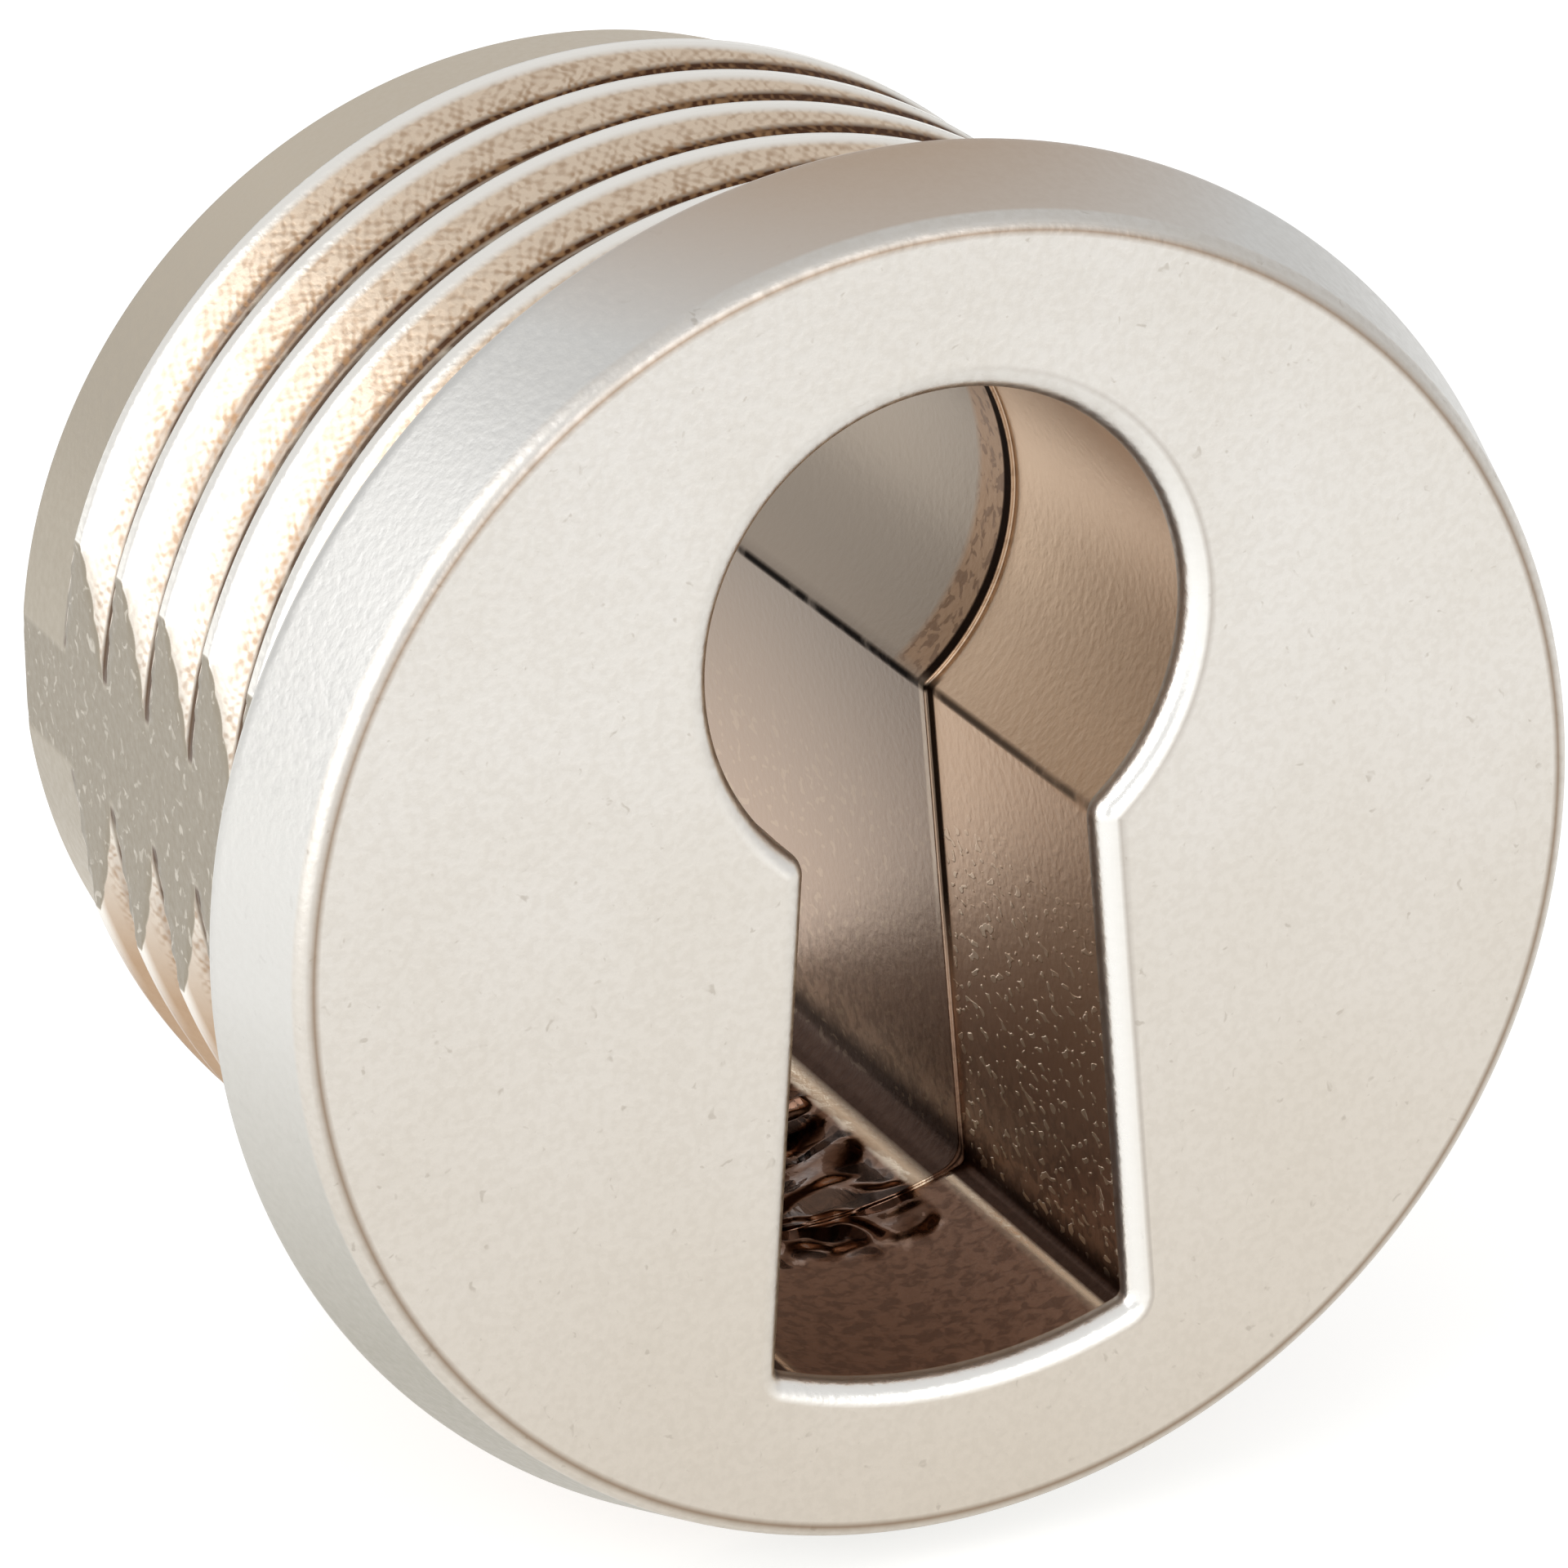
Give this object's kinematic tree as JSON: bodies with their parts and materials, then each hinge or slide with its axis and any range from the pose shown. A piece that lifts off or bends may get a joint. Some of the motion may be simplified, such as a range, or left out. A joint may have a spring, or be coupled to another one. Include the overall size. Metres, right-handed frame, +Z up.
{
  "type": "keyhole bushing",
  "caption": "Flanged metal bushing with a keyhole passage. Its barrel has a coarse right-hand thread, broken by flats along both sides, and a plain collar at the rear.",
  "frame": {"origin": "on the bushing's axis, in the plane of the flange's underside, where it meets the door", "axes": "+Y along the axis from the visible face into the door, so the face looks towards -Y; +Z up, with the keyhole's round part above its slot; +X to the right as seen from the front"},
  "size_m": [0.0212, 0.0146, 0.0212],
  "materials": {
    "satin_nickel": "satin nickel plate on a zinc die casting"
  },
  "bodies": {
    "root": {"keyhole_bushing": "satin_nickel"}
  },
  "joints": []
}
